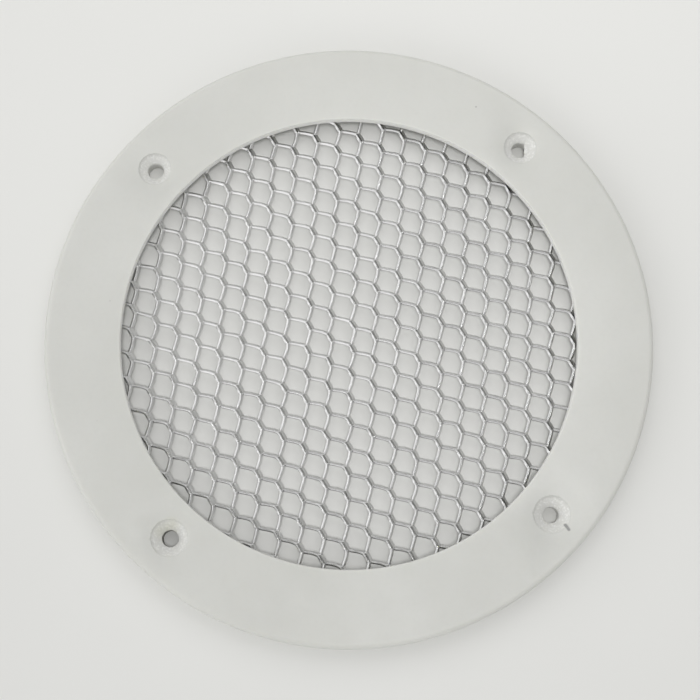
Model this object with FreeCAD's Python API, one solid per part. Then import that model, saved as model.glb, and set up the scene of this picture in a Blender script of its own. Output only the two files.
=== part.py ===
import FreeCAD, Part
import math
import os

# Round vent cover: a flat moulded ring with four countersunk screw holes, a
# disc of raised expanded aluminium mesh behind its opening, and a plain ring
# that holds the mesh in a rebate at the back.
# Millimetres. Z = 0 is the back face that lies on the wall, +Z is the front.

# --- frame ring -----------------------------------------------------------
ring_od = 151.2             # outside diameter
ring_thick = 6.0            # back face to front face
opening_d = 113.4           # clear opening at the front lip
lip_thick = 2.4             # thickness of the lip in front of the mesh
rebate_d = 124.0            # pocket at the back for mesh and retaining ring
outer_edge_r = 1.4          # rounding of the front outer edge
inner_edge_r = 0.35         # rounding of the front edge of the opening
back_edge_c = 0.4           # chamfer of the back outer edge

# --- screw holes ----------------------------------------------------------
hole_count = 4
hole_pcd = 131.2            # bolt circle
hole_d = 4.0                # clearance for a No. 8 or 4 mm wood screw
sink_d = (8.2, 8.2, 9.1, 9.1)       # countersinks at the front face, 90 degrees
hole_first_deg = 45.0               # the first two are the upper pair

# --- expanded mesh --------------------------------------------------------
mesh_d = 123.0              # cut diameter of the disc
long_way = 10.33            # bond to bond along the long diagonal
short_way = 6.50            # bond to bond along the short diagonal
long_way_deg = -63.36       # direction of the long diagonal from +X
bond_x0, bond_y0 = 0.64, -2.12      # place of the middle bond
strand_w = 0.88             # width of one strand in the sheet
sheet_t = 0.65              # thickness of the sheet
tilt_deg = 50.0             # lean of bonds and strands, high towards the lower left
bond_len = 2.3              # length of a bond along the long diagonal

# --- retaining ring -------------------------------------------------------
keeper_id = 117.0
keeper_gap = 0.1            # radial room in the rebate
keeper_back = 0.3           # set in from the back face
keeper_edge_c = 0.3

V = FreeCAD.Vector
tilt = math.radians(tilt_deg)
mesh_h = 2.0 * strand_w * math.sin(tilt) + sheet_t * math.cos(tilt)
lip_z = ring_thick - lip_thick          # underside of the lip
mesh_z = lip_z - mesh_h / 2.0           # middle plane of the mesh
keeper_top = lip_z - mesh_h             # the mesh is held between these two

os.makedirs("parts", exist_ok=True)


def revolve(points_and_arcs):
    """Solid of revolution about Z from a closed list of edges in the XZ plane."""
    wire = Part.Wire(points_and_arcs)
    return Part.Face(wire).revolve(V(0, 0, 0), V(0, 0, 1), 360)


def seg(a, b):
    return Part.LineSegment(V(a[0], 0, a[1]), V(b[0], 0, b[1])).toShape()


def arc(a, m, b):
    return Part.Arc(V(a[0], 0, a[1]), V(m[0], 0, m[1]), V(b[0], 0, b[1])).toShape()


# --- frame ring -----------------------------------------------------------
def make_frame_ring():
    ro = ring_od / 2.0
    ri = opening_d / 2.0
    rr = rebate_d / 2.0
    t = ring_thick
    e = outer_edge_r
    f = inner_edge_r
    k = math.sqrt(0.5)
    edges = [
        seg((rr, 0), (ro - back_edge_c, 0)),
        seg((ro - back_edge_c, 0), (ro, back_edge_c)),
        seg((ro, back_edge_c), (ro, t - e)),
        arc((ro, t - e), (ro - e + e * k, t - e + e * k), (ro - e, t)),
        seg((ro - e, t), (ri + f, t)),
        arc((ri + f, t), (ri + f - f * k, t - f + f * k), (ri, t - f)),
        seg((ri, t - f), (ri, lip_z)),
        seg((ri, lip_z), (rr, lip_z)),
        seg((rr, lip_z), (rr, 0)),
    ]
    ring = revolve(edges)
    r_hole = hole_d / 2.0
    cutters = []
    for n in range(hole_count):
        r_sink = sink_d[n] / 2.0
        depth = r_sink - r_hole         # 90 degree countersink
        a = math.radians(hole_first_deg + 360.0 * n / hole_count)
        x = hole_pcd / 2.0 * math.cos(a)
        y = hole_pcd / 2.0 * math.sin(a)
        cutters.append(Part.makeCylinder(r_hole, t + 2.0, V(x, y, -1.0)))
        over = 0.5
        cutters.append(Part.makeCone(r_hole, r_sink + over, depth + over, V(x, y, t - depth)))
    return ring.cut(cutters)


# --- expanded mesh --------------------------------------------------------
def make_mesh_screen():
    ang = math.radians(long_way_deg)
    p = V(math.cos(ang), math.sin(ang), 0)          # long way
    q = V(-math.sin(ang), math.cos(ang), 0)         # short way
    z = V(0, 0, 1)
    w = q * math.cos(tilt) - z * math.sin(tilt)     # across a leaning strand
    n = z * math.cos(tilt) + q * math.sin(tilt)     # its face normal

    def bond_place(i, j):
        x = (i * long_way + j * long_way) / 2.0 * p.x + (j - i) * short_way / 2.0 * q.x
        y = (i * long_way + j * long_way) / 2.0 * p.y + (j - i) * short_way / 2.0 * q.y
        return V(bond_x0 + x, bond_y0 + y, mesh_z)

    reach = mesh_d / 2.0 + 5.0
    bonds = {}
    for i in range(-24, 25):
        for j in range(-24, 25):
            c = bond_place(i, j)
            if math.hypot(c.x, c.y) < reach:
                bonds[(i, j)] = c

    hl = bond_len / 2.0
    ht = sheet_t / 2.0

    def corner(b, end, side, face):
        """Corner of a bond: end -1/+1 along p, side -1/0/+1 across, face -1/+1."""
        return bonds[b] + p * (hl * end) + w * (strand_w * side) + n * (ht * face)

    faces = []

    def poly(*pts):
        faces.append(Part.Face(Part.makePolygon(list(pts) + [pts[0]])))

    def strand(a, end_a, b, end_b):
        """Leaning strand from the far half of bond a to the near half of bond b."""
        a0, a1 = [[corner(a, end_a, s, f) for f in (-1, 1)] for s in (0, 1)]
        b0, b1 = [[corner(b, end_b, s, f) for f in (-1, 1)] for s in (-1, 0)]
        poly(a0[1], a1[1], b1[1], b0[1])            # front face
        poly(a0[0], b0[0], b1[0], a1[0])            # back face
        poly(a0[0], a0[1], b0[1], b0[0])            # near edge
        poly(a1[0], b1[0], b1[1], a1[1])            # far edge

    def cap(b, end, s0, s1):
        poly(corner(b, end, s0, -1), corner(b, end, s1, -1),
             corner(b, end, s1, 1), corner(b, end, s0, 1))

    for (i, j) in bonds:
        b = (i, j)
        for f in (-1, 1):
            poly(corner(b, -1, -1, f), corner(b, 1, -1, f), corner(b, 1, 0, f),
                 corner(b, 1, 1, f), corner(b, -1, 1, f), corner(b, -1, 0, f))
        for s in (-1, 1):
            poly(corner(b, -1, s, -1), corner(b, 1, s, -1), corner(b, 1, s, 1), corner(b, -1, s, 1))
        if (i, j + 1) in bonds:
            strand(b, 1, (i, j + 1), -1)
        else:
            cap(b, 1, 0, 1)
        if (i - 1, j) in bonds:
            strand(b, -1, (i - 1, j), 1)
        else:
            cap(b, -1, 0, 1)
        if (i, j - 1) not in bonds:
            cap(b, -1, -1, 0)
        if (i + 1, j) not in bonds:
            cap(b, 1, -1, 0)

    shell = Part.makeShell(faces)
    shell.sewShape()
    solid = Part.makeSolid(shell)
    if solid.Volume < 0:
        solid.reverse()
    disc = Part.makeCylinder(mesh_d / 2.0, mesh_h + 4.0, V(0, 0, mesh_z - mesh_h / 2.0 - 2.0))
    cut = solid.common(disc)
    # strand ends that the round cut leaves loose fall away
    return max(cut.Solids, key=lambda s: s.Volume)


# --- retaining ring -------------------------------------------------------
def make_retaining_ring():
    ro = rebate_d / 2.0 - keeper_gap
    ri = keeper_id / 2.0
    b = keeper_back
    t = keeper_top
    c = keeper_edge_c
    edges = [
        seg((ri + c, b), (ro - c, b)),
        seg((ro - c, b), (ro, b + c)),
        seg((ro, b + c), (ro, t)),
        seg((ro, t), (ri, t)),
        seg((ri, t), (ri, b + c)),
        seg((ri, b + c), (ri + c, b)),
    ]
    return revolve(edges)


frame_ring = make_frame_ring()
mesh_screen = make_mesh_screen()
retaining_ring = make_retaining_ring()

for name, shape in (("frame_ring", frame_ring),
                    ("mesh_screen", mesh_screen),
                    ("retaining_ring", retaining_ring)):
    box = shape.BoundBox
    print("%-15s valid %s solids %d faces %d volume %.1f mm3  z %.3f to %.3f  across %.2f" % (
        name, shape.isValid(), len(shape.Solids), len(shape.Faces), shape.Volume,
        box.ZMin, box.ZMax, box.XLength))
    shape.exportStep("parts/%s.step" % name)
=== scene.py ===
import math
import random

import bmesh
import bpy
from mathutils import Matrix, Vector


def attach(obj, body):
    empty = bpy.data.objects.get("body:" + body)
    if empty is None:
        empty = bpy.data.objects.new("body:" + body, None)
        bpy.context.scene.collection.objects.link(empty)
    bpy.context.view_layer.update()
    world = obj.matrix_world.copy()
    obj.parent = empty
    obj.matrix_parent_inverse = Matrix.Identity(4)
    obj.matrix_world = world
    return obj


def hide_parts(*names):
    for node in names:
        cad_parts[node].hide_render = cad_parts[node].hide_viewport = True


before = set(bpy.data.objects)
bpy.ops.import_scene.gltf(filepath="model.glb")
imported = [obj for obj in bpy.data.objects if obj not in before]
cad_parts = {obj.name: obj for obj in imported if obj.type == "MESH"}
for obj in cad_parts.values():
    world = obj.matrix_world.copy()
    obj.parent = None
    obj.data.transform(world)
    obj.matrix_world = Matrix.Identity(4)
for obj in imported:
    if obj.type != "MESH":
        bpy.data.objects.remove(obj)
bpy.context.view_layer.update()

MM = 0.001


# ---------------------------------------------------------------- node helpers
def new_material(name):
    m = bpy.data.materials.new(name)
    m.use_nodes = True
    nt = m.node_tree
    nt.nodes.clear()
    out = nt.nodes.new("ShaderNodeOutputMaterial")
    bsdf = nt.nodes.new("ShaderNodeBsdfPrincipled")
    nt.links.new(bsdf.outputs["BSDF"], out.inputs["Surface"])
    return m, nt, bsdf


def node(nt, kind, **props):
    n = nt.nodes.new(kind)
    for k, v in props.items():
        setattr(n, k, v)
    return n


def noise(nt, vec, scale, detail=2.0, rough=0.5, distortion=0.0):
    n = node(nt, "ShaderNodeTexNoise")
    n.inputs["Scale"].default_value = scale
    n.inputs["Detail"].default_value = detail
    n.inputs["Roughness"].default_value = rough
    n.inputs["Distortion"].default_value = distortion
    nt.links.new(vec, n.inputs["Vector"])
    return n.outputs["Fac"]


def ramp(nt, fac, lo, hi, a, b):
    """Maps fac from lo..hi to a..b, clamped."""
    n = node(nt, "ShaderNodeMapRange")
    n.clamp = True
    n.inputs["From Min"].default_value = lo
    n.inputs["From Max"].default_value = hi
    n.inputs["To Min"].default_value = a
    n.inputs["To Max"].default_value = b
    nt.links.new(fac, n.inputs["Value"])
    return n.outputs["Result"]


def mix_colour(nt, fac, a, b):
    n = node(nt, "ShaderNodeMix", data_type="RGBA")
    for sock, val in ((n.inputs[6], a), (n.inputs[7], b)):
        if isinstance(val, tuple):
            sock.default_value = (*val, 1.0)
        else:
            nt.links.new(val, sock)
    if isinstance(fac, float):
        n.inputs[0].default_value = fac
    else:
        nt.links.new(fac, n.inputs[0])
    return n.outputs[2]


def maths(nt, op, a, b=None, clamp=False):
    n = node(nt, "ShaderNodeMath", operation=op)
    n.use_clamp = clamp
    for sock, val in ((n.inputs[0], a), (n.inputs[1], b)):
        if val is None:
            continue
        if isinstance(val, (int, float)):
            sock.default_value = val
        else:
            nt.links.new(val, sock)
    return n.outputs[0]


def bump(nt, height, strength, distance, normal=None):
    n = node(nt, "ShaderNodeBump")
    n.inputs["Strength"].default_value = strength
    n.inputs["Distance"].default_value = distance
    nt.links.new(height, n.inputs["Height"])
    if normal is not None:
        nt.links.new(normal, n.inputs["Normal"])
    return n.outputs["Normal"]


def object_coords(nt):
    return node(nt, "ShaderNodeTexCoord").outputs["Object"]


# ---------------------------------------------------------------- dimensions
ring_od = 151.2
ring_thick = 6.0
opening_d = 113.4
lip_thick = 2.4
rebate_d = 124.0
outer_edge_r = 1.4
inner_edge_r = 0.35
back_edge_c = 0.4
hole_pcd = 131.2
hole_d = 4.0
sink_d = (8.2, 8.2, 9.1, 9.1)

mesh_d = 123.0
long_way = 10.33
short_way = 6.50
long_way_deg = -63.36
bond_x0, bond_y0 = 0.64, -2.12
strand_w = 0.88
sheet_t = 0.65
tilt_deg = 50.0

lip_z = ring_thick - lip_thick
mesh_h = 2.0 * strand_w * math.sin(math.radians(tilt_deg)) + sheet_t * math.cos(math.radians(tilt_deg))
mesh_z = lip_z - mesh_h / 2.0

# the part is turned by this much against the picture's upright
turn = 0.0619115


def picture_point(x_px, y_px, z):
    """Point of the part, in mm, that shows at a pixel of the 700 x 700 picture, at height z."""
    a = (x_px - 348.31) / 4.0386
    b = -(y_px - 338.15) / 4.0386
    r = cam_rows
    col = (r[0][2], r[1][2], r[2][2])
    z0 = z - ring_thick
    k = (z0 - col[0] * a - col[1] * b) / (col[2] - (col[0] * a + col[1] * b) / cam_dist)
    y = (a * (1 - k / cam_dist), b * (1 - k / cam_dist), k)
    p = [sum(r[i][j] * y[i] for i in range(3)) for j in range(3)]
    c, s = math.cos(-turn), math.sin(-turn)
    return (c * p[0] - s * p[1], s * p[0] + c * p[1])


# camera: rows are its right, up and backward axes seen from the picture's frame
rx, ry = -0.183172, 0.0051935
cam_dist = 358.69
cam_rows = [
    (math.cos(ry), 0.0, math.sin(ry)),
    (math.sin(rx) * math.sin(ry), math.cos(rx), -math.sin(rx) * math.cos(ry)),
    (-math.cos(rx) * math.sin(ry), math.sin(rx), math.cos(rx) * math.cos(ry)),
]


# ---------------------------------------------------------------- frame ring
def build_ring():
    bm = bmesh.new()
    n_big, n_small = 360, 72

    def circle(r, z, n, cx=0.0, cy=0.0, shape=None):
        vs = []
        for i in range(n):
            a = 2.0 * math.pi * i / n
            x, y = r * math.cos(a), r * math.sin(a)
            if shape:
                x, y = shape(x, y)
            vs.append(bm.verts.new(((cx + x) * MM, (cy + y) * MM, z * MM)))
        return vs

    def skin(a, b):
        n = len(a)
        for i in range(n):
            j = (i + 1) % n
            bm.faces.new((a[i], a[j], b[j], b[i]))

    def loop_edges(vs):
        n = len(vs)
        out = []
        for i in range(n):
            e = bm.edges.get((vs[i], vs[(i + 1) % n]))
            out.append(e or bm.edges.new((vs[i], vs[(i + 1) % n])))
        return out

    ro, ri, rr, t = ring_od / 2 - 0.035, opening_d / 2, rebate_d / 2, ring_thick
    e, f = outer_edge_r, inner_edge_r
    # outside wall, from the front face down to the back
    outer = [(ro - e + e * math.sin(a), t - e + e * math.cos(a))
             for a in [math.pi / 2 * k / 10 for k in range(11)]]
    outer += [(ro, back_edge_c), (ro - back_edge_c, 0.0)]
    # opening wall, from the front face down round the lip into the rebate
    inner = [(ri + f - f * math.sin(a), t - f + f * math.cos(a))
             for a in [math.pi / 2 * k / 6 for k in range(7)]]
    inner += [(ri, lip_z + 0.15), (ri + 0.15, lip_z), (rr, lip_z), (rr, 0.25), (rr + 0.25, 0.0)]
    o_loops = [circle(r, z, n_big) for r, z in outer]
    i_loops = [circle(r, z, n_big) for r, z in inner]
    for loops in (o_loops, i_loops):
        for a, b in zip(loops, loops[1:]):
            skin(a, b)
    # countersunk holes
    rh = hole_d / 2
    front_holes, back_holes = [], []
    for h in range(4):
        rs = sink_d[h] / 2
        k = rs - rh
        a = math.radians(45.0 + 90.0 * h)
        cx, cy = hole_pcd / 2 * math.cos(a), hole_pcd / 2 * math.sin(a)
        # the upper right hole keeps a ridge of flash along its right-hand side
        flash = None
        if h == 0:
            fc, fs = math.cos(-turn), math.sin(-turn)

            def flash(x, y, fc=fc, fs=fs):
                u, v = fc * x + fs * y, -fs * x + fc * y
                lim = 1.22 + 0.06 * math.sin(5.0 * v)
                if u > lim:
                    u = lim + 0.10 * (u - lim)
                return fc * u - fs * v, fs * u + fc * v
        # a small step at the rim, then the countersink
        prof = [(rs + 0.06, t, None), (rs + 0.01, t - 0.03, None), (rs - 0.03, t - 0.20, None), (rs - 0.14, t - 0.28, None),
                (rh + 0.22, t - k + 0.20, None), (rh + 0.10, t - k + 0.06, flash), (rh, t - k - 0.10, flash),
                (rh, t - k - 1.0, flash), (rh, t - k - 1.5, None), (rh, 0.15, None), (rh + 0.15, 0.0, None)]
        loops = [circle(r, z, n_small, cx, cy, s) for r, z, s in prof]
        for p, q in zip(loops, loops[1:]):
            skin(p, q)
        front_holes.append(loops[0])
        back_holes.append(loops[-1])
    # flat front and back faces with their holes
    for o, i, holes in ((o_loops[0], i_loops[0], front_holes), (o_loops[-1], i_loops[-1], back_holes)):
        edges = loop_edges(o) + loop_edges(i)
        for hl in holes:
            edges += loop_edges(hl)
        bmesh.ops.triangle_fill(bm, use_beauty=True, use_dissolve=False, edges=edges)
    bmesh.ops.recalc_face_normals(bm, faces=bm.faces)
    return finish_mesh(bm, "vent_frame_ring", 34.0)


def finish_mesh(bm, name, sharp_deg):
    me = bpy.data.meshes.new(name)
    bm.to_mesh(me)
    bm.free()
    for p in me.polygons:
        p.use_smooth = True
    me.set_sharp_from_angle(angle=math.radians(sharp_deg))
    ob = bpy.data.objects.new(name, me)
    bpy.context.scene.collection.objects.link(ob)
    return ob


# ---------------------------------------------------------------- expanded mesh
def build_mesh():
    rng = random.Random(11)
    bm = bmesh.new()
    # per-face tone: darker sheared metal on the cut faces, and painted shade that varies over the sheet
    shade_layer = bm.faces.layers.float.new("tone")
    ang = math.radians(long_way_deg)
    z = Vector((0, 0, 1))
    W, T = strand_w, sheet_t
    c = 0.045
    half_bond = 1.15
    reach, cut_r = mesh_d / 2 - 1.5, mesh_d / 2 - 0.1

    def place(i, j):
        u, v = (i + j) * long_way / 2, (j - i) * short_way / 2
        x = u * math.cos(ang) - v * math.sin(ang)
        y = u * math.sin(ang) + v * math.cos(ang)
        return Vector((bond_x0 + x, bond_y0 + y, mesh_z))

    # every bond has its own small lean and turn, as the stretching leaves them
    info = {}
    for i in range(-26, 27):
        for j in range(-26, 27):
            c0 = place(i, j)
            if math.hypot(c0.x, c0.y) > mesh_d / 2 + 9.0:
                continue
            a = ang + math.radians(rng.gauss(0, 1.6))
            th = math.radians(tilt_deg - 1.0 + max(-5.0, min(1.0, rng.gauss(0.0, 2.0))))
            p = Vector((math.cos(a), math.sin(a), 0))
            q = Vector((-math.sin(a), math.cos(a), 0))
            jig = Vector((rng.gauss(0, 0.05), rng.gauss(0, 0.05), 0))
            info[(i, j)] = dict(c=c0 + jig, p=p, q=q, th=th,
                                w=q * math.cos(th) - z * math.sin(th),
                                n=z * math.cos(th) + q * math.sin(th))

    bonds = [k for k, b in info.items() if math.hypot(b["c"].x, b["c"].y) < reach]
    inside = set(bonds)
    ends = {}
    b2 = T / 2

    def vert(v):
        return bm.verts.new(v * MM)

    def face(vs, face_shade):
        out = []
        for v in vs:
            if not out or out[-1] is not v:
                out.append(v)
        if out[0] is out[-1]:
            out.pop()
        if len(out) >= 3:
            fc = bm.faces.new(out)
            fc[shade_layer] = face_shade

    # a bond is two strands wide and a little creased along its middle; its half next to
    # the high edge is painted dark as shade, less so towards the left of the sheet
    dent = 0.07
    outline = [(-W + c, b2), (0.0, b2 - dent), (W - c, b2), (W, b2 - c), (W, -b2 + c),
               (W - c, -b2), (0.0, -b2 - dent), (-W + c, -b2), (-W, -b2 + c), (-W, b2 - c)]
    for k in bonds:
        b = info[k]
        left = max(0.0, min(1.0, (-b["c"].x - 8.0) / 30.0))
        near = 0.80 - 0.55 * left + rng.gauss(0.0, 0.06)
        far = 0.12 - 0.06 * left
        # painted shade: the bond's cut faces are toned darker, more so towards the right and bottom of the sheet
        cut = 0.26 + 0.10 * max(0.0, min(1.0, max(b["c"].x, -b["c"].y) / 40.0))
        outline_shade = [near, far, far, 0.6, 0.6, 0.3, 0.3, cut, cut, cut]
        # away from the rim the far half is pulled a little wider in the middle
        pull = 0.14 if math.hypot(b["c"].x, b["c"].y) < 55.0 else 0.0
        rings = []
        for e in (-1, 0, 1):
            rings.append([vert(b["c"] + b["p"] * (half_bond * e) + b["w"] * (s + (pull if s > 0.1 and e == 0 else 0.0)) + b["n"] * t)
                          for s, t in outline])
        for r0, r1 in zip(rings, rings[1:]):
            for m in range(10):
                face((r0[m], r0[(m + 1) % 10], r1[(m + 1) % 10], r1[m]), outline_shade[m])
        ends[(k, -1)], ends[(k, 1)] = rings[0], rings[2]

    a2 = W / 2
    section = [(-a2 + c, b2), (a2 - c, b2), (a2, b2 - c), (a2, -b2 + c),
               (a2 - c, -b2), (-a2 + c, -b2), (-a2, -b2 + c), (-a2, b2 - c)]
    upper = [1, 2, 3, 4, 5, 6, 6, 1]            # bond outline points of the far half
    lower = [0, 1, 1, 6, 6, 7, 8, 9]            # and of the near, high half
    steps = 9

    def strand(ka, ea, kb, eb):
        A, B = info[ka], info[kb]
        pa = A["c"] + A["p"] * (half_bond * ea) + A["w"] * a2
        pb = B["c"] + B["p"] * (half_bond * eb) - B["w"] * a2
        m = 1.0
        ta, tb = A["p"] * (ea * m), B["p"] * (-eb * m)
        slack = Vector((rng.gauss(0, 0.04), rng.gauss(0, 0.04), 0))
        lean_x, lean_y = (pa.x + pb.x) / 80.0, (pa.y + pb.y) / 80.0
        # strands that run across are painted duller, as shade, at the right and bottom of the sheet
        if ea > 0:
            dip, broad = -3.0, 0.12
            dull_shade = 0.58 * max(0.0, min(1.0, max(1.7 * lean_x, -1.7 * lean_y) - 0.10))
        else:
            dip, broad = -6.0, 0.03
            dull_shade = 0.30 * max(0.0, min(1.0, lean_x)) + 0.10 * min(1.0, abs(lean_y))
        dip += rng.gauss(0.0, 2.0)
        dull_shade = max(0.0, dull_shade + rng.gauss(0.0, 0.05))
        section_shade = [broad, broad, 0.6, 0.6, 0.3, dull_shade, dull_shade, dull_shade]

        def at(t):
            h00, h10 = 2 * t ** 3 - 3 * t ** 2 + 1, t ** 3 - 2 * t ** 2 + t
            h01, h11 = -2 * t ** 3 + 3 * t ** 2, t ** 3 - t ** 2
            pos = pa * h00 + ta * h10 + pb * h01 + tb * h11 + slack * (4 * t * (1 - t)) ** 2
            d = pa * (6 * t * t - 6 * t) + ta * (3 * t * t - 4 * t + 1) + pb * (6 * t - 6 * t * t) + tb * (3 * t * t - 2 * t)
            h = Vector((-d.y, d.x, 0)) * ea
            h.normalize()
            pos = pos + h * (0.13 * math.sin(math.pi * t) ** 2)
            th = A["th"] * (1 - t) + B["th"] * t - math.radians(dip) * math.sin(math.pi * t) ** 2
            return pos, h * math.cos(th) - z * math.sin(th), z * math.cos(th) + h * math.sin(th)

        ts = [k / steps for k in range(steps + 1)]
        in_a, in_b = ka in inside, kb in inside
        if not in_b:
            keep = []
            for t in ts:
                pos = at(t)[0]
                if math.hypot(pos.x, pos.y) > cut_r:
                    break
                keep.append(t)
            ts = keep
        elif not in_a:
            keep = []
            for t in reversed(ts):
                pos = at(t)[0]
                if math.hypot(pos.x, pos.y) > cut_r:
                    break
                keep.append(t)
            ts = list(reversed(keep))
        rings = []
        for t in ts:
            if t == 0.0 and in_a:
                rings.append([ends[(ka, ea)][m_] for m_ in upper])
            elif t == 1.0 and in_b:
                rings.append([ends[(kb, eb)][m_] for m_ in lower])
            else:
                pos, w, n = at(t)
                rings.append([vert(pos + w * s + n * t_) for s, t_ in section])
        for r0, r1 in zip(rings, rings[1:]):
            for m_ in range(8):
                face((r0[m_], r0[(m_ + 1) % 8], r1[(m_ + 1) % 8], r1[m_]), section_shade[m_])
        if not in_b:
            face(rings[-1], 1)
        if not in_a:
            face(list(reversed(rings[0])), 1)

    for (i, j) in sorted(set(list(inside) + [(i, j - 1) for i, j in inside] + [(i + 1, j) for i, j in inside])):
        k = (i, j)
        for kb, ea, eb in (((i, j + 1), 1, -1), ((i - 1, j), -1, 1)):
            if k in info and kb in info and (k in inside or kb in inside):
                strand(k, ea, kb, eb)
    bmesh.ops.recalc_face_normals(bm, faces=bm.faces)
    ob = finish_mesh(bm, "vent_mesh_screen", 62.0)
    wn = ob.modifiers.new("face_weighted", "WEIGHTED_NORMAL")
    wn.keep_sharp = True
    wn.weight = 80
    return ob


# ---------------------------------------------------------------- materials
def plastic(name, with_marks_and_painted_light):
    m, nt, bsdf = new_material(name)
    co = object_coords(nt)
    cloud = noise(nt, co, 28.0, 3.0, 0.55)
    fine = noise(nt, co, 900.0, 3.0, 0.6)
    colour = mix_colour(nt, ramp(nt, cloud, 0.35, 0.65, 0.0, 1.0), (0.588, 0.590, 0.560), (0.622, 0.624, 0.596))
    colour = mix_colour(nt, ramp(nt, fine, 0.45, 0.75, 0.0, 0.12), colour, (0.52, 0.52, 0.50))
    # the marks are real scratches, specks and tint together with painted shade and painted light
    if with_marks_and_painted_light:
        sep = node(nt, "ShaderNodeSeparateXYZ")
        nt.links.new(co, sep.inputs[0])
        wob = noise(nt, co, 1500.0, 2.0)

        def dash(x0, y0, x1, y1, half_w, soft):
            """1 on a short line between two points of the front face, in mm, 0 away from it."""
            dx, dy = (x1 - x0) * MM, (y1 - y0) * MM
            ln = math.hypot(dx, dy)
            ux, uy = dx / ln, dy / ln
            rx_ = maths(nt, "SUBTRACT", sep.outputs[0], x0 * MM)
            ry_ = maths(nt, "SUBTRACT", sep.outputs[1], y0 * MM)
            along = maths(nt, "ADD", maths(nt, "MULTIPLY", rx_, ux), maths(nt, "MULTIPLY", ry_, uy))
            inside = maths(nt, "MINIMUM", maths(nt, "MAXIMUM", along, 0.0), ln)
            ex = maths(nt, "SUBTRACT", rx_, maths(nt, "MULTIPLY", inside, ux))
            ey = maths(nt, "SUBTRACT", ry_, maths(nt, "MULTIPLY", inside, uy))
            d2 = maths(nt, "ADD", maths(nt, "MULTIPLY", ex, ex), maths(nt, "MULTIPLY", ey, ey))
            d = maths(nt, "SQRT", d2)
            d = maths(nt, "ADD", d, maths(nt, "MULTIPLY", maths(nt, "SUBTRACT", wob, 0.5), 0.25 * half_w * MM))
            return ramp(nt, d, half_w * MM, (half_w + soft) * MM, 1.0, 0.0)

        t = ring_thick
        # the countersinks are cut and paler than the moulded face; the paleness is also painted light that lifts the
        # cones' shade, and its lighter patches are painted glints
        for h in range(4):
            a = math.radians(45.0 + 90.0 * h)
            hx, hy = hole_pcd / 2 * math.cos(a), hole_pcd / 2 * math.sin(a)
            pit = dash(hx, hy, hx + 0.01, hy, sink_d[h] / 2 - 0.12, 0.10)
            below = ramp(nt, sep.outputs[2], (t - 0.30) * MM, (t - 0.18) * MM, 1.0, 0.0)
            cut_pale_and_glint = mix_colour(nt, ramp(nt, noise(nt, co, 1900.0, 2.0, 0.6), 0.50, 0.72, 0.0, 1.0), (0.655, 0.655, 0.630), (0.80, 0.80, 0.78))
            colour = mix_colour(nt, maths(nt, "MULTIPLY", pit, below), colour, cut_pale_and_glint)
            # painted shade: a darker line round the rim for the shaded step, stronger on its upper left
            rim_shade = maths(nt, "SUBTRACT", dash(hx, hy, hx + 0.01, hy, sink_d[h] / 2 - 0.02, 0.22),
                        dash(hx, hy, hx + 0.01, hy, sink_d[h] / 2 - 0.62, 0.35), True)
            shade_side = maths(nt, "SUBTRACT", maths(nt, "SUBTRACT", sep.outputs[1], hy * MM),
                            maths(nt, "MULTIPLY", maths(nt, "SUBTRACT", sep.outputs[0], hx * MM), 0.7))
            rim_shade = maths(nt, "MULTIPLY", rim_shade, ramp(nt, shade_side, -0.003, 0.003, 0.06, 0.26))
            colour = mix_colour(nt, rim_shade, colour, (0.30, 0.30, 0.285))
        # painted light: the thin edge of the opening is painted paler, for light let through it and to lift its shade
        rad = maths(nt, "SQRT", maths(nt, "ADD", maths(nt, "MULTIPLY", sep.outputs[0], sep.outputs[0]),
                                      maths(nt, "MULTIPLY", sep.outputs[1], sep.outputs[1])))
        wall_painted_light = maths(nt, "MULTIPLY", ramp(nt, rad, 57.0 * MM, 57.3 * MM, 1.0, 0.0),
                     ramp(nt, sep.outputs[2], (t - 0.45) * MM, (t - 0.15) * MM, 1.0, 0.0))
        colour = mix_colour(nt, maths(nt, "MULTIPLY", wall_painted_light, 0.9), colour, (0.82, 0.82, 0.795))
        x0, y0 = picture_point(564.8, 525.2, t)
        x1, y1 = picture_point(567.9, 529.7, t)
        scratch = dash(x0, y0, x1, y1, 0.24, 0.26)
        colour = mix_colour(nt, maths(nt, "MULTIPLY", scratch, 0.85), colour, (0.25, 0.25, 0.245))
        for px, py, w, depth, tone in ((475.0, 107.0, 0.10, 0.65, (0.26, 0.25, 0.24)),
                                       (109.0, 301.0, 0.08, 0.35, (0.38, 0.37, 0.36)),
                                       (96.0, 421.0, 0.07, 0.20, (0.42, 0.41, 0.40))):
            x, y = picture_point(px, py, t)
            colour = mix_colour(nt, maths(nt, "MULTIPLY", dash(x, y, x + 0.05, y, w, 0.18), depth), colour, tone)
        # faint yellowing in the lower left countersink
        x, y = picture_point(165.0, 527.0, t - 1.0)
        tint = dash(x - 1.0, y - 1.0, x + 1.4, y + 0.3, 0.4, 2.2)
        colour = mix_colour(nt, maths(nt, "MULTIPLY", tint, 0.30), colour, (0.56, 0.56, 0.42))
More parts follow.
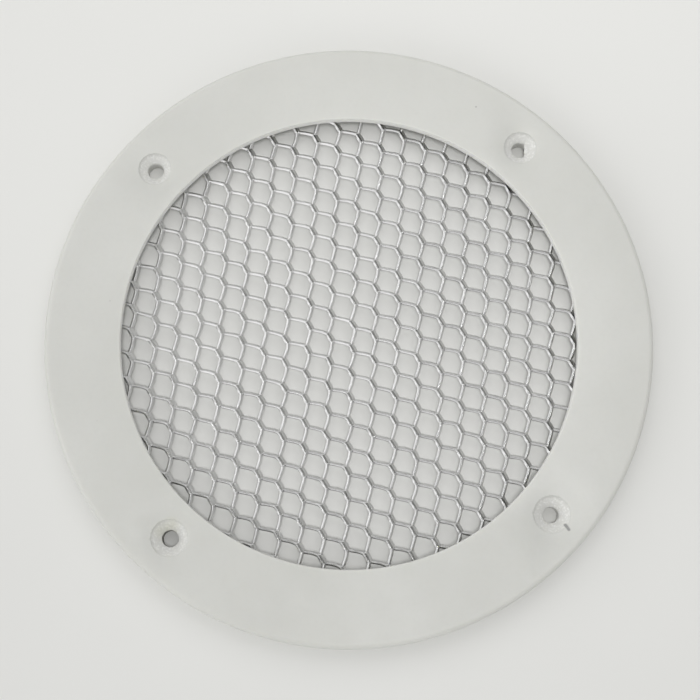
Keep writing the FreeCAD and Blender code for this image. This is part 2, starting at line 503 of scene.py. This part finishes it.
        # painted shade in the bore of that hole: its wall is painted near black for the dark seen down the hole
        a = math.radians(225.0)
        hx, hy = hole_pcd / 2 * math.cos(a), hole_pcd / 2 * math.sin(a)
        bore_shade = dash(hx, hy, hx + 0.01, hy, hole_d / 2 + 0.02, 0.08)
        deep = ramp(nt, sep.outputs[2], 3.3 * MM, 3.6 * MM, 1.0, 0.0)
        colour = mix_colour(nt, maths(nt, "MULTIPLY", maths(nt, "MULTIPLY", bore_shade, deep), 0.95), colour, (0.07, 0.068, 0.05))
    nt.links.new(colour, bsdf.inputs["Base Color"])
    bsdf.inputs["Subsurface Weight"].default_value = 0.6
    bsdf.inputs["Subsurface Radius"].default_value = (1.0, 1.0, 0.9)
    bsdf.inputs["Subsurface Scale"].default_value = 0.0018
    nt.links.new(ramp(nt, noise(nt, co, 260.0, 3.0, 0.6), 0.3, 0.7, 0.40, 0.52), bsdf.inputs["Roughness"])
    bsdf.inputs["IOR"].default_value = 1.49
    bsdf.inputs["Specular IOR Level"].default_value = 0.36
    peel = bump(nt, noise(nt, co, 420.0, 2.0, 0.5), 0.18, 0.00004)
    nt.links.new(bump(nt, noise(nt, co, 5200.0, 2.0, 0.6), 0.16, 0.00002, peel), bsdf.inputs["Normal"])
    return m


def aluminium():
    m, nt, bsdf = new_material("mesh_aluminium")
    co = object_coords(nt)
    at = node(nt, "ShaderNodeAttribute", attribute_name="tone")
    patch = noise(nt, co, 240.0, 2.0, 0.5)
    fine = noise(nt, co, 3800.0, 3.0, 0.65)
    colour = mix_colour(nt, ramp(nt, patch, 0.3, 0.7, 0.0, 1.0), (0.78, 0.78, 0.775), (0.88, 0.88, 0.875))
    # partly real, partly painted shade: the tone darkens the cut faces as sheared metal and paints shade over the sheet
    colour = mix_colour(nt, maths(nt, "MULTIPLY", at.outputs["Fac"], 0.80), colour, (0.20, 0.20, 0.20))
    nt.links.new(colour, bsdf.inputs["Base Color"])
    bsdf.inputs["Metallic"].default_value = 1.0
    # the cut edges are rougher than the rolled faces
    cut = ramp(nt, at.outputs["Fac"], 0.0, 0.28, 0.12, 0.0)
    nt.links.new(maths(nt, "ADD", ramp(nt, fine, 0.3, 0.7, 0.20, 0.34), cut), bsdf.inputs["Roughness"])
    wave = bump(nt, noise(nt, co, 900.0, 2.0, 0.5), 0.35, 0.00006)
    nt.links.new(bump(nt, fine, 0.25, 0.00002, wave), bsdf.inputs["Normal"])
    return m


def floor_material():
    m, nt, bsdf = new_material("studio_floor")
    co = object_coords(nt)
    tone = noise(nt, co, 9.0, 3.0, 0.5)
    nt.links.new(mix_colour(nt, ramp(nt, tone, 0.3, 0.7, 0.0, 1.0), (0.708, 0.708, 0.688), (0.726, 0.726, 0.706)), bsdf.inputs["Base Color"])
    nt.links.new(ramp(nt, noise(nt, co, 60.0, 2.0, 0.5), 0.3, 0.7, 0.55, 0.65), bsdf.inputs["Roughness"])
    bsdf.inputs["Specular IOR Level"].default_value = 0.2
    nt.links.new(bump(nt, noise(nt, co, 700.0, 2.0, 0.5), 0.05, 0.0001), bsdf.inputs["Normal"])
    return m


# ---------------------------------------------------------------- pieces
ring = build_ring()
ring.data.materials.append(plastic("frame_plastic", True))
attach(ring, "root")
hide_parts("frame_ring")

screen = build_mesh()
screen.data.materials.append(aluminium())
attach(screen, "root")
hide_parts("mesh_screen")

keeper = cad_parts["retaining_ring"]
keeper_mat = plastic("keeper_plastic", False)
if keeper.data.materials:
    for k in range(len(keeper.data.materials)):
        keeper.material_slots[k].link = "OBJECT"
        keeper.material_slots[k].material = keeper_mat

# ---------------------------------------------------------------- stage
fm = bpy.data.meshes.new("studio_floor")
fb = bmesh.new()
bmesh.ops.create_grid(fb, x_segments=8, y_segments=8, size=4.0, matrix=Matrix.Translation((0, 0, -0.00005)))
fb.to_mesh(fm)
fb.free()
floor = bpy.data.objects.new("studio_floor", fm)
bpy.context.scene.collection.objects.link(floor)
fm.materials.append(floor_material())


def area(name, pos, target, size, power, colour=(1, 1, 1), size_y=None):
    d = bpy.data.lights.new(name, "AREA")
    d.shape = "RECTANGLE" if size_y else "SQUARE"
    d.size = size
    if size_y:
        d.size_y = size_y
    d.energy = power
    d.color = colour
    o = bpy.data.objects.new(name, d)
    o.location = pos
    o.rotation_euler = (Vector(target) - Vector(pos)).to_track_quat("-Z", "Y").to_euler()
    o.visible_camera = False
    bpy.context.scene.collection.objects.link(o)
    return o


# a pale dome that is lighter low down at the left, a panel behind the camera and a
# smaller one over the far side
area("panel_top", (0.04, 0.18, 0.28), (0, 0, 0), 0.30, 0.32, (1.0, 1.0, 0.995), 0.30)
area("panel_camera", (0.0, -0.22, 1.6), (0, 0, 0), 0.30, 7.4, (1.0, 1.0, 0.995), 0.36)

world = bpy.data.worlds.new("studio")
bpy.context.scene.world = world
world.use_nodes = True
wn = world.node_tree
wn.nodes.clear()
wo = wn.nodes.new("ShaderNodeOutputWorld")
bg = wn.nodes.new("ShaderNodeBackground")
bg.inputs["Color"].default_value = (1.0, 1.0, 1.0, 1.0)
up = wn.nodes.new("ShaderNodeSeparateXYZ")
wn.links.new(wn.nodes.new("ShaderNodeTexCoord").outputs["Generated"], up.inputs[0])
base = ramp(wn, up.outputs[2], 0.02, 0.20, 0.28, 0.43)
side = maths(wn, "ADD", maths(wn, "MULTIPLY", up.outputs[0], -0.906), maths(wn, "MULTIPLY", up.outputs[1], -0.423))
low = maths(wn, "MULTIPLY", ramp(wn, up.outputs[2], 0.0, 0.14, 0.0, 1.0), ramp(wn, up.outputs[2], 0.45, 0.75, 1.0, 0.0))
low = maths(wn, "MULTIPLY", low, ramp(wn, side, -0.2, 0.5, 0.0, 1.0))
wn.links.new(maths(wn, "ADD", base, low), bg.inputs["Strength"])
wn.links.new(bg.outputs[0], wo.inputs["Surface"])

scene = bpy.context.scene
scene.view_settings.view_transform = "Standard"
scene.view_settings.look = "None"
scene.view_settings.exposure = 0.0
scene.view_settings.gamma = 1.0

# ---------------------------------------------------------------- camera
c, s = math.cos(-turn), math.sin(-turn)


def to_part(v):
    return Vector((c * v[0] - s * v[1], s * v[0] + c * v[1], v[2]))


axes = [to_part(r) for r in cam_rows]
cam_data = bpy.data.cameras.new("camera")
cam_data.sensor_fit = "HORIZONTAL"
cam_data.sensor_width = 36.0
cam_data.lens = 4.0386 * cam_dist * 36.0 / 700.0
cam_data.shift_x = (350.0 - 349.21) / 700.0
cam_data.shift_y = (337.95 - 350.0) / 700.0
cam_data.clip_start = 0.01
cam_data.dof.use_dof = False
cam = bpy.data.objects.new("camera", cam_data)
pos = axes[2] * (cam_dist * MM) + Vector((0, 0, ring_thick * MM))
rot = Matrix((axes[0], axes[1], axes[2])).transposed().to_4x4()
cam.matrix_world = Matrix.Translation(pos) @ rot
scene.collection.objects.link(cam)
scene.camera = cam

bpy.context.view_layer.update()
